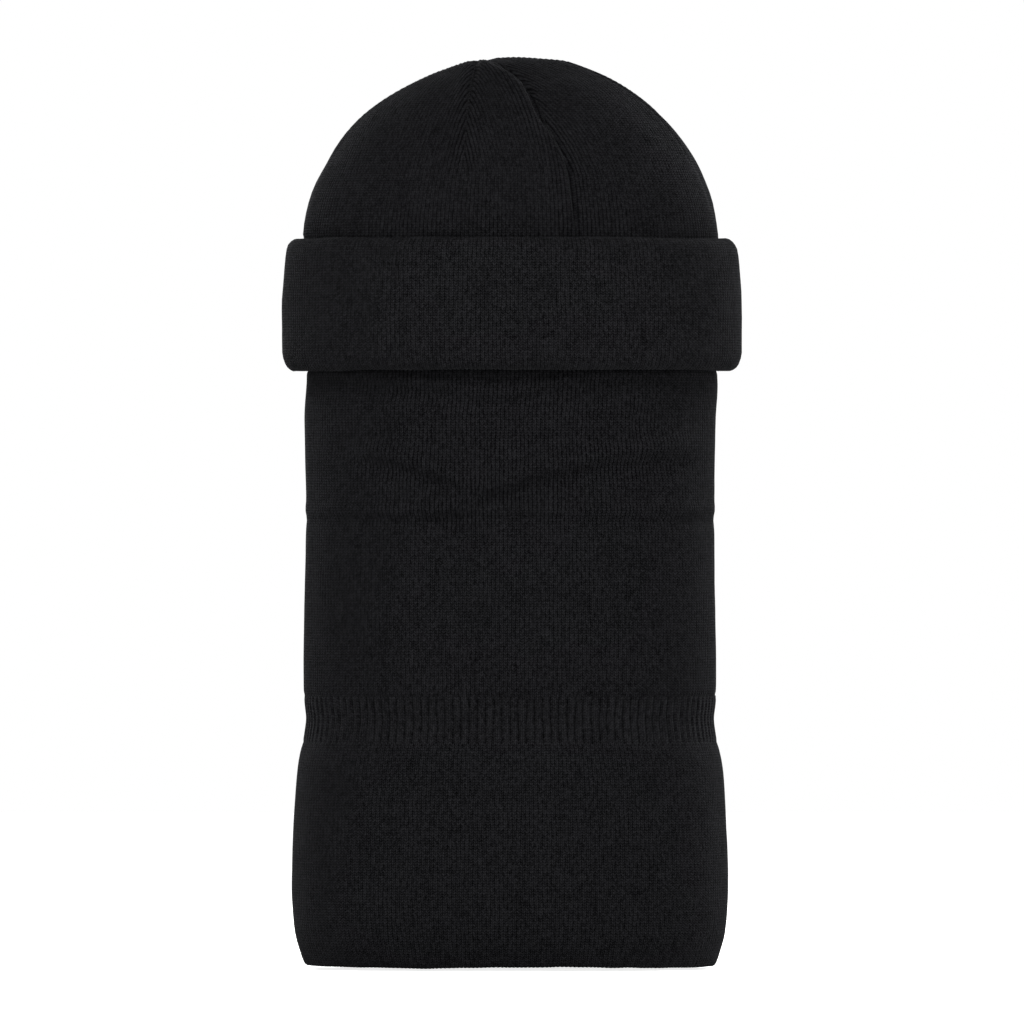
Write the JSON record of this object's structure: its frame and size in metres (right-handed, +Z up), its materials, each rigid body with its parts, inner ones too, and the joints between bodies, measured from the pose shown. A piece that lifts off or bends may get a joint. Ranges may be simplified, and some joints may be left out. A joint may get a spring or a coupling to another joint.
{
  "type": "balaclava",
  "caption": "Black knitted balaclava: a lined beanie with a turned-up cuff and a long neck tube with a ribbed band and a flared skirt, joined inside it.",
  "frame": {"origin": "centre of the head opening at the cuff's lower fold, on the wearer's brow line", "axes": "+Z up through the crown, -Y the way the wearer faces, +X to the left of the wearer"},
  "size_m": [0.234, 0.156, 0.4635],
  "materials": {
    "shell_knit": "matte fine-gauge acrylic knit, near black",
    "cuff_knit": "the same knit, its wales a little wider on the turned-up cuff",
    "lining_knit": "the inner layer of the same knit",
    "rib_knit": "ribbed knit, narrow raised ribs and dark grooves",
    "thread": "black sewing thread and linked seams",
    "label_satin": "blank dark woven tag"
  },
  "bodies": {
    "hat": {"crown_lobe_front": "shell_knit", "crown_lobe_right_front": "shell_knit", "crown_lobe_right_back": "shell_knit", "crown_lobe_back": "shell_knit", "crown_lobe_left_back": "shell_knit", "crown_lobe_left_front": "shell_knit", "dart_seam_front_left": "thread", "dart_seam_front_right": "thread", "dart_seam_right": "thread", "dart_seam_back_right": "thread", "dart_seam_back_left": "thread", "dart_seam_left": "thread", "crown_gather": "thread", "hat_shell_upper": "shell_knit", "hat_shell_lower": "shell_knit", "hat_lining_crown": "lining_knit", "hat_lining_lower": "lining_knit", "neck_front_upper": "shell_knit", "neck_back_upper": "shell_knit", "join_seam": "thread", "rib_band": "rib_knit", "skirt": "shell_knit", "hem": "shell_knit", "care_label": "label_satin"},
    "cuff": {"cuff_outer_ply": "cuff_knit", "cuff_inner_ply": "cuff_knit", "cuff_top_fold": "cuff_knit", "cuff_lower_fold": "cuff_knit"},
    "mask": {"face_rim": "rib_knit"}
  },
  "joints": [
    {"name": "cuff_slide", "type": "slide", "parent": "hat", "child": "cuff", "axis": [0, 0, -1], "range_m": [0, 0.035], "deforming": ["hat_shell_lower", "hat_lining_lower"]},
    {"name": "mask_slide", "type": "slide", "parent": "hat", "child": "mask", "axis": [0, 0, -1], "range_m": [0, 0.09], "deforming": ["neck_front_upper"]}
  ]
}
